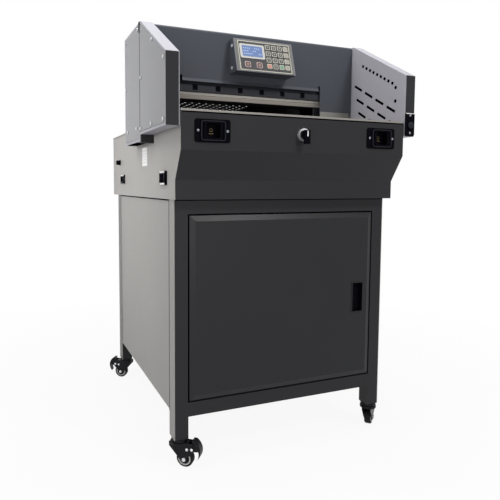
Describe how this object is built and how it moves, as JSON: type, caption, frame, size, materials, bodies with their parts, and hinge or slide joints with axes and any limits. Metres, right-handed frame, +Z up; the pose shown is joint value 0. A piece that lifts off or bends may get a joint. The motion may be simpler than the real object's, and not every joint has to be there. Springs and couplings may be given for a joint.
{
  "type": "programmable paper cutter",
  "caption": "Programmable guillotine paper cutter on a caster cabinet, with guarded throat, slanted-stroke blade, clamp, screw-driven back gauge, hinged rear guard and cabinet door.",
  "frame": {"origin": "on the floor, under the middle of the machine's bounding box", "axes": "+Z up, -Y towards the operator's side, +X to the operator's right"},
  "size_m": [0.76, 0.91, 1.23],
  "materials": {
    "charcoal_paint": "fine textured powder coat",
    "grey_paint": "satin powder coat",
    "ground_steel": "ground",
    "cast_iron": "painted casting",
    "black_plastic": "satin",
    "tyre_rubber": "matte",
    "chrome": "polished",
    "machine_grey": "satin",
    "stick_plastic": "matte",
    "overlay_film": "satin",
    "black_steel": "gloss black"
  },
  "bodies": {
    "frame": {"front_frame": "charcoal_paint", "base_front_panel": "charcoal_paint", "head_cover": "charcoal_paint", "control_box": "charcoal_paint", "wing_fronts": "charcoal_paint", "cabinet_back": "charcoal_paint", "cabinet_side_left": "grey_paint", "cabinet_side_right": "grey_paint", "cabinet_floor": "grey_paint", "base_side_left": "grey_paint", "base_side_right": "grey_paint", "base_back_panel": "grey_paint", "wing_left": "grey_paint", "wing_right": "grey_paint", "wing_covers": "grey_paint", "table": "ground_steel", "throat_skirts": "ground_steel", "gantry": "cast_iron", "base_chassis": "machine_grey", "drive_motor": "machine_grey", "gauge_motor": "black_plastic", "wing_module": "black_plastic", "button_housings": "black_plastic", "power_inlet": "black_plastic", "switch_frame": "black_plastic", "fuse_holder": "black_plastic", "caster_plates": "black_steel", "hinge_pins": "chrome", "selector_ring": "chrome", "cutting_stick": "stick_plastic", "control_overlay": "overlay_film"},
    "door": {"door": "charcoal_paint", "door_pull": "black_plastic"},
    "blade": {"blade_carrier": "charcoal_paint", "blade": "ground_steel", "blade_bolts": "ground_steel", "pull_rod": "ground_steel"},
    "clamp": {"clamp_beam": "cast_iron"},
    "gauge": {"back_gauge": "cast_iron"},
    "screw": {"lead_screw": "ground_steel"},
    "crank": {"crank": "ground_steel"},
    "guard": {"rear_guard": "charcoal_paint", "guard_screen": "charcoal_paint"},
    "button_left": {"cut_button_left": "black_plastic"},
    "button_right": {"cut_button_right": "black_plastic"},
    "selector": {"selector_knob": "black_plastic"},
    "rocker": {"main_rocker": "black_plastic"},
    "caster_fl": {"caster_fork_fl": "black_steel"},
    "wheel_fl": {"caster_wheel_fl": "tyre_rubber"},
    "brake_fl": {"caster_brake_fl": "black_plastic"},
    "caster_fr": {"caster_fork_fr": "black_steel"},
    "wheel_fr": {"caster_wheel_fr": "tyre_rubber"},
    "brake_fr": {"caster_brake_fr": "black_plastic"},
    "caster_rl": {"caster_fork_rl": "black_steel"},
    "wheel_rl": {"caster_wheel_rl": "tyre_rubber"},
    "brake_rl": {"caster_brake_rl": "black_plastic"},
    "caster_rr": {"caster_fork_rr": "black_steel"},
    "wheel_rr": {"caster_wheel_rr": "tyre_rubber"},
    "brake_rr": {"caster_brake_rr": "black_plastic"}
  },
  "joints": [
    {"name": "door_hinge", "type": "hinge", "parent": "frame", "child": "door", "pos_m": [-0.28, -0.345, 0.436], "axis": [0, 0, -1], "range_deg": [0, 100]},
    {"name": "blade_stroke", "type": "slide", "parent": "frame", "child": "blade", "axis": [-0.3735, 0, -0.9276], "range_m": [0, 0.0803]},
    {"name": "clamp_stroke", "type": "slide", "parent": "frame", "child": "clamp", "axis": [0, 0, -1], "range_m": [0, 0.071]},
    {"name": "gauge_travel", "type": "slide", "parent": "frame", "child": "gauge", "axis": [0, -1, 0], "range_m": [0, 0.41]},
    {"name": "screw_turn", "type": "hinge", "parent": "frame", "child": "screw", "pos_m": [-0.021, 0.15, 0.91], "axis": [0, -1, 0], "range_deg": [-5, 7400]},
    {"name": "crank_turn", "type": "hinge", "parent": "frame", "child": "crank", "pos_m": [0.27, -0.123, 0.82975], "axis": [0, 1, 0], "range_deg": [-2, 182]},
    {"name": "guard_hinge", "type": "hinge", "parent": "frame", "child": "guard", "pos_m": [-0.021, 0.049, 1.096], "axis": [1, 0, 0], "range_deg": [0, 75]},
    {"name": "button_left_press", "type": "slide", "parent": "frame", "child": "button_left", "axis": [0, 1, 0], "range_m": [0, 0.005], "stiffness_N_per_m": 400, "springref_m": -0.001},
    {"name": "button_right_press", "type": "slide", "parent": "frame", "child": "button_right", "axis": [0, 1, 0], "range_m": [0, 0.005], "stiffness_N_per_m": 400, "springref_m": -0.001},
    {"name": "selector_turn", "type": "hinge", "parent": "frame", "child": "selector", "pos_m": [0.002, -0.43, 0.904], "axis": [0, 1, 0], "range_deg": [-45, 45]},
    {"name": "rocker_tip", "type": "hinge", "parent": "frame", "child": "rocker", "pos_m": [-0.342, -0.28, 0.788], "axis": [0, -1, 0], "range_deg": [0, 18]},
    {"name": "swivel_fl", "type": "hinge", "parent": "frame", "child": "caster_fl", "pos_m": [-0.317, -0.333, 0.066], "axis": [0, 0, 1], "continuous": true},
    {"name": "roll_fl", "type": "hinge", "parent": "caster_fl", "child": "wheel_fl", "pos_m": [-0.30245, -0.34521, 0.024], "axis": [0.6428, 0.766, 0], "continuous": true},
    {"name": "pedal_fl", "type": "hinge", "parent": "caster_fl", "child": "brake_fl", "pos_m": [-0.28712, -0.35807, 0.051], "axis": [0.6428, 0.766, 0], "range_deg": [0, 12]},
    {"name": "swivel_fr", "type": "hinge", "parent": "frame", "child": "caster_fr", "pos_m": [0.317, -0.333, 0.066], "axis": [0, 0, 1], "continuous": true},
    {"name": "roll_fr", "type": "hinge", "parent": "caster_fr", "child": "wheel_fr", "pos_m": [0.33134, -0.32054, 0.024], "axis": [-0.6561, 0.7547, 0], "continuous": true},
    {"name": "pedal_fr", "type": "hinge", "parent": "caster_fr", "child": "brake_fr", "pos_m": [0.34643, -0.30741, 0.051], "axis": [-0.6561, 0.7547, 0], "range_deg": [0, 12]},
    {"name": "swivel_rl", "type": "hinge", "parent": "frame", "child": "caster_rl", "pos_m": [-0.317, 0.368, 0.066], "axis": [0, 0, 1], "continuous": true},
    {"name": "roll_rl", "type": "hinge", "parent": "caster_rl", "child": "wheel_rl", "pos_m": [-0.33311, 0.37807, 0.024], "axis": [-0.5299, -0.848, 0], "continuous": true},
    {"name": "pedal_rl", "type": "hinge", "parent": "caster_rl", "child": "brake_rl", "pos_m": [-0.35007, 0.38867, 0.051], "axis": [-0.5299, -0.848, 0], "range_deg": [0, 12]},
    {"name": "swivel_rr", "type": "hinge", "parent": "frame", "child": "caster_rr", "pos_m": [0.317, 0.368, 0.066], "axis": [0, 0, 1], "continuous": true},
    {"name": "roll_rr", "type": "hinge", "parent": "caster_rr", "child": "wheel_rr", "pos_m": [0.3265, 0.35155, 0.024], "axis": [0.866, 0.5, 0], "continuous": true},
    {"name": "pedal_rr", "type": "hinge", "parent": "caster_rr", "child": "brake_rr", "pos_m": [0.3365, 0.33422, 0.051], "axis": [0.866, 0.5, 0], "range_deg": [0, 12]}
  ],
  "couplings": [
    {"joint": "screw_turn", "follows": "gauge_travel", "rad_per_m": 314.16},
    {"joint": "crank_turn", "follows": "blade_stroke", "rad_per_m": 39.117}
  ]
}
